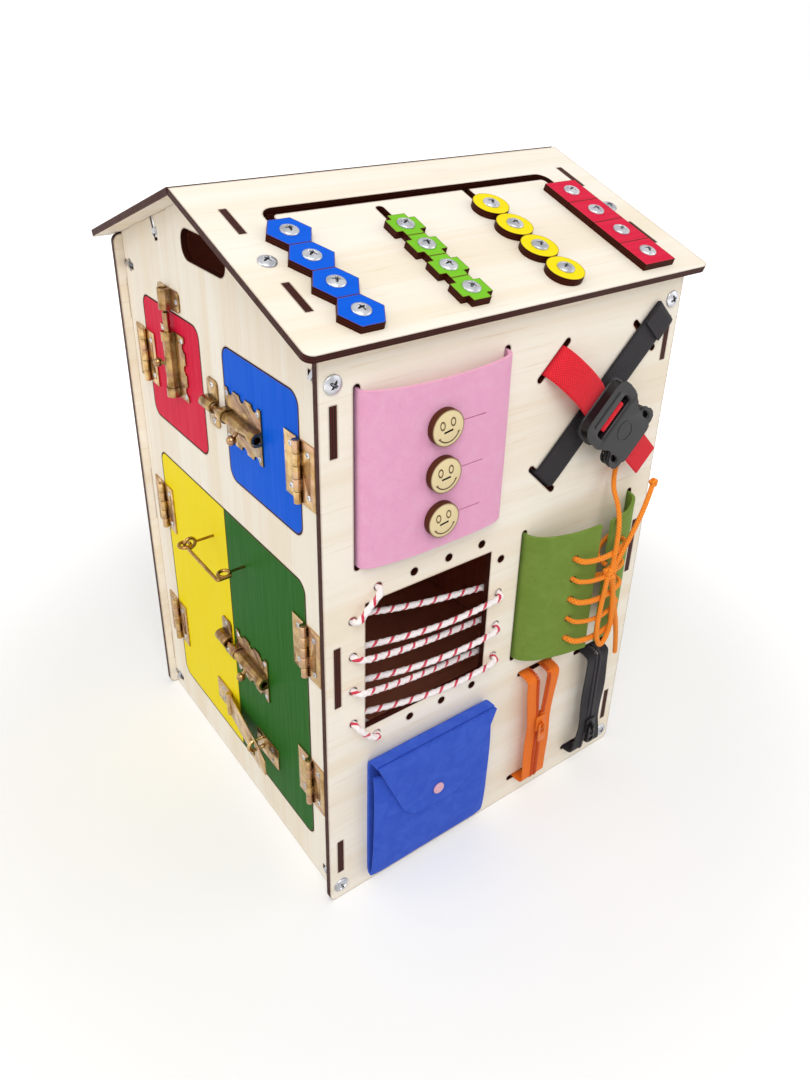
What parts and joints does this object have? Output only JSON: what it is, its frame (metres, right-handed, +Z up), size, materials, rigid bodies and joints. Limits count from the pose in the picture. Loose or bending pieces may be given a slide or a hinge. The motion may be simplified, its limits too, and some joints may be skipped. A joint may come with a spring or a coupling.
{
  "type": "activity house",
  "caption": "Plywood busy house with hinged, bolted and hooked doors, felt flaps, straps, zips, lacing panels and sliding roof tiles.",
  "frame": {"origin": "on the floor, under the middle of the whole as measured over its hook, lace and roof", "axes": "+X to the right of the front wall, +Y from the front wall to the back wall, +Z up"},
  "size_m": [0.2786, 0.2898, 0.416],
  "materials": {
    "plywood": "satin",
    "red_paint": "satin",
    "blue_paint": "satin",
    "yellow_paint": "satin",
    "green_paint": "satin",
    "light_green_paint": "satin",
    "brass": "polished",
    "zinc": "bright",
    "pink_felt": "matte",
    "blue_felt": "matte",
    "green_felt": "matte",
    "black_webbing": "matte",
    "red_webbing": "matte",
    "black_plastic": "satin",
    "pale_pink_plastic": "gloss",
    "orange_lace": "matte",
    "red_white_lace": "matte",
    "orange_zip": "matte",
    "black_zip": "matte"
  },
  "bodies": {
    "house": {"front_wall": "plywood", "back_wall": "plywood", "left_gable": "plywood", "right_gable": "plywood", "floor_board": "plywood", "roof_front": "plywood", "roof_back": "plywood", "frame_screws": "zinc", "wall_hinge_leaves": "brass", "wall_keepers": "brass", "button_flap": "pink_felt", "button_tab": "pink_felt", "face_buttons": "plywood", "pouch_pocket": "blue_felt", "black_strap": "black_webbing", "red_strap": "red_webbing", "buckle_prongs": "black_plastic", "lacing_felt_left": "green_felt", "lacing_felt_right": "green_felt", "shoe_lace": "orange_lace", "window_lace": "red_white_lace", "orange_zip_tape": "orange_zip", "black_zip_tape": "black_zip"},
    "red_door": {"red_door": "red_paint", "red_hinge_leaf": "brass", "red_bolt_case": "brass"},
    "red_bolt": {"red_bolt_rod": "brass"},
    "blue_door": {"blue_door": "blue_paint", "blue_hinge_leaf": "brass", "blue_bolt_case": "brass"},
    "blue_bolt": {"blue_bolt_rod": "brass"},
    "yellow_door": {"yellow_door": "yellow_paint", "yellow_hinge_leaves": "brass", "yellow_keeper": "brass", "yellow_screw_eye": "brass", "hasp_leaf": "brass"},
    "latch_hook": {"latch_hook": "brass"},
    "hasp_strap": {"hasp_strap": "brass"},
    "green_door": {"green_door": "green_paint", "green_hinge_leaves": "brass", "green_bolt_case": "brass", "green_screw_eye": "brass", "hasp_staple": "brass"},
    "green_bolt": {"green_bolt_rod": "brass"},
    "pouch_flap": {"pouch_flap": "blue_felt", "snap_cap": "pale_pink_plastic"},
    "buckle_socket": {"buckle_socket": "black_plastic", "red_strap_tail": "red_webbing"},
    "orange_slider": {"orange_slider": "orange_zip"},
    "orange_pull": {"orange_pull": "orange_zip"},
    "black_slider": {"black_slider": "black_plastic"},
    "black_pull": {"black_pull": "black_plastic"},
    "blue_chain": {"blue_tiles": "blue_paint", "blue_tile_screws": "zinc"},
    "green_chain": {"green_tiles": "light_green_paint", "green_tile_screws": "zinc"},
    "yellow_chain": {"yellow_tiles": "yellow_paint", "yellow_tile_screws": "zinc"},
    "red_chain": {"red_tiles": "red_paint", "red_tile_screws": "zinc"}
  },
  "joints": [
    {"name": "red_door_hinge", "type": "hinge", "parent": "house", "child": "red_door", "pos_m": [-0.117, 0.10837, 0.2935], "axis": [0, 0, -1], "range_deg": [0, 170]},
    {"name": "red_bolt_slide", "type": "slide", "parent": "red_door", "child": "red_bolt", "axis": [0, 0, 1], "range_m": [0, 0.013]},
    {"name": "blue_door_hinge", "type": "hinge", "parent": "house", "child": "blue_door", "pos_m": [-0.117, -0.08623, 0.2935], "axis": [0, 0, 1], "range_deg": [0, 170]},
    {"name": "blue_bolt_slide", "type": "slide", "parent": "blue_door", "child": "blue_bolt", "axis": [0, 1, 0], "range_m": [0, 0.014]},
    {"name": "yellow_door_hinge", "type": "hinge", "parent": "house", "child": "yellow_door", "pos_m": [-0.117, 0.10837, 0.126], "axis": [0, 0, -1], "range_deg": [0, 170]},
    {"name": "latch_hook_pivot", "type": "hinge", "parent": "yellow_door", "child": "latch_hook", "pos_m": [-0.13465, 0.03057, 0.194], "axis": [0, 0, -1], "range_deg": [0, 170]},
    {"name": "hasp_hinge", "type": "hinge", "parent": "yellow_door", "child": "hasp_strap", "pos_m": [-0.117, 0.02357, 0.058], "axis": [0, 0, -1], "range_deg": [-7, 130]},
    {"name": "green_door_hinge", "type": "hinge", "parent": "house", "child": "green_door", "pos_m": [-0.117, -0.08623, 0.126], "axis": [0, 0, 1], "range_deg": [0, 170]},
    {"name": "green_bolt_slide", "type": "slide", "parent": "green_door", "child": "green_bolt", "axis": [0, 1, 0], "range_m": [0, 0.012]},
    {"name": "pouch_flap_fold", "type": "hinge", "parent": "house", "child": "pouch_flap", "pos_m": [-0.04815, -0.12473, 0.108], "axis": [-1, 0, 0], "range_deg": [0, 165]},
    {"name": "buckle_release", "type": "slide", "parent": "house", "child": "buckle_socket", "axis": [0.7071, 0, -0.7071], "range_m": [0, 0.018]},
    {"name": "orange_zip_slide", "type": "slide", "parent": "house", "child": "orange_slider", "axis": [0, 0, 1], "range_m": [-0.038, 0.028]},
    {"name": "orange_pull_swing", "type": "hinge", "parent": "orange_slider", "child": "orange_pull", "pos_m": [0.04085, -0.12688, 0.071], "axis": [-1, 0, 0], "range_deg": [0, 150]},
    {"name": "black_zip_slide", "type": "slide", "parent": "house", "child": "black_slider", "axis": [0, 0, 1], "range_m": [-0.009, 0.052]},
    {"name": "black_pull_swing", "type": "hinge", "parent": "black_slider", "child": "black_pull", "pos_m": [0.09385, -0.12688, 0.04], "axis": [-1, 0, 0], "range_deg": [0, 150]},
    {"name": "blue_chain_slide", "type": "slide", "parent": "house", "child": "blue_chain", "axis": [0, 0.9397, 0.342], "range_m": [0, 0.0219]},
    {"name": "green_chain_slide", "type": "slide", "parent": "house", "child": "green_chain", "axis": [0, 0.9397, 0.342], "range_m": [0, 0.0228]},
    {"name": "yellow_chain_slide", "type": "slide", "parent": "house", "child": "yellow_chain", "axis": [0, 0.9397, 0.342], "range_m": [0, 0.026]},
    {"name": "red_chain_slide", "type": "slide", "parent": "house", "child": "red_chain", "axis": [0, 0.9397, 0.342], "range_m": [0, 0.0225]}
  ],
  "couplings": [
    {"joint": "green_door_hinge", "follows": "yellow_door_hinge", "ratio": 1}
  ]
}
